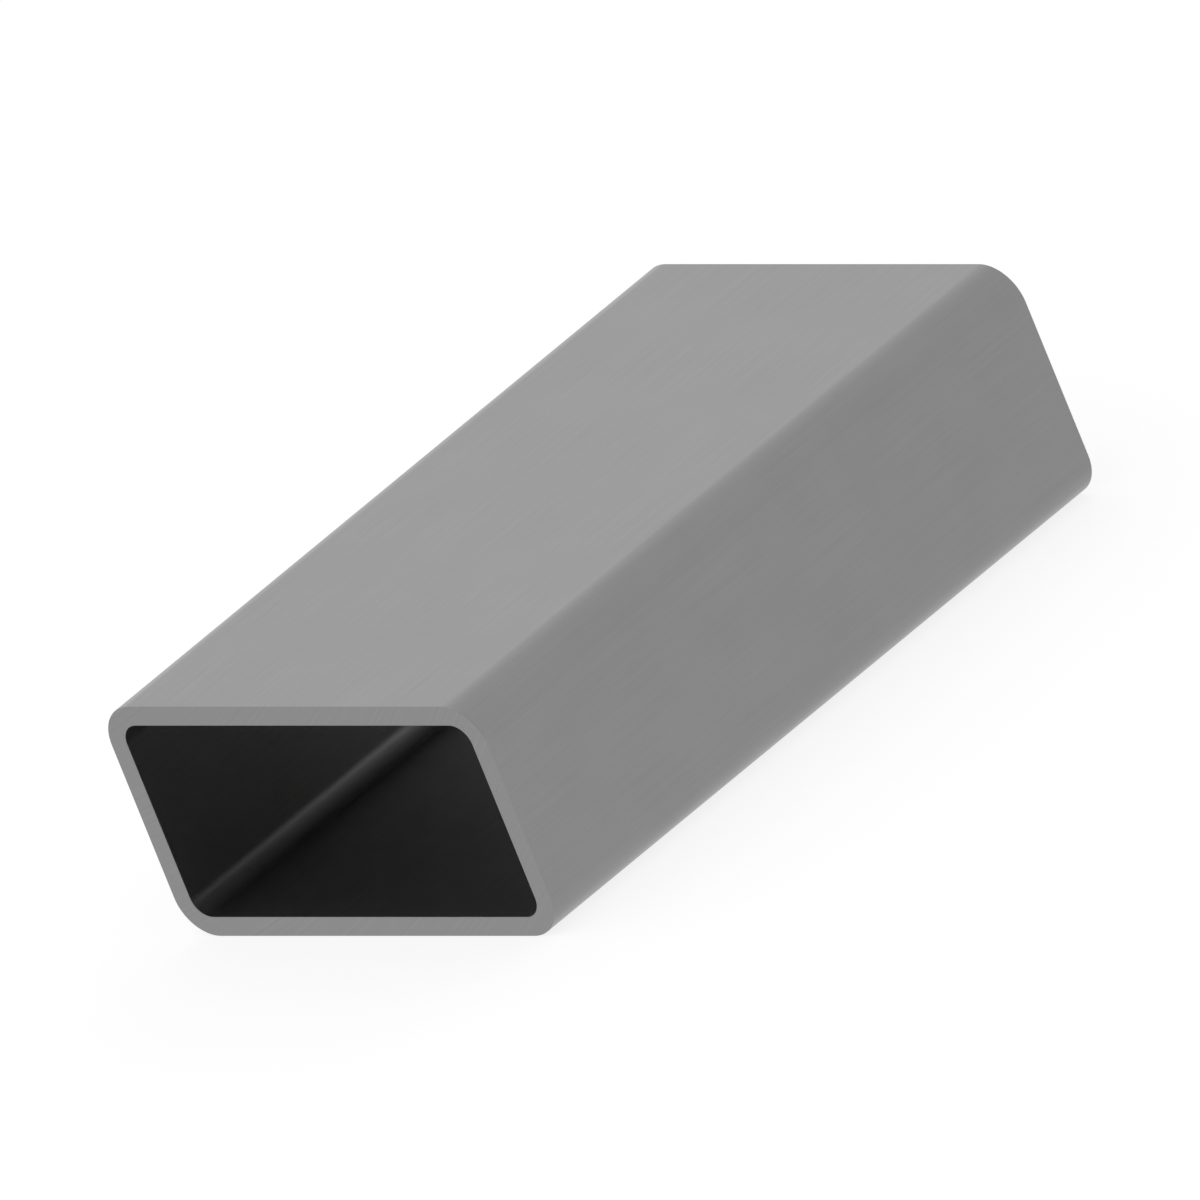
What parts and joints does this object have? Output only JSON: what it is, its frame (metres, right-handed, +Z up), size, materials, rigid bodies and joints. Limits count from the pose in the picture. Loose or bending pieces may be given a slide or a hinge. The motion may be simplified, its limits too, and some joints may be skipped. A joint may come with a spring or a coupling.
{
  "type": "rectangular metal tube",
  "caption": "Short straight length of rectangular hollow section with rounded corners, sawn square at both ends and open from end to end.",
  "frame": {"origin": "centre of the underside, where the tube rests on the floor on one of its wide sides", "axes": "+Y along the length of the tube, +X across its wide sides, +Z up"},
  "size_m": [0.06, 0.1, 0.03],
  "materials": {
    "steel": "satin"
  },
  "bodies": {
    "root": {"tube": "steel"}
  },
  "joints": []
}
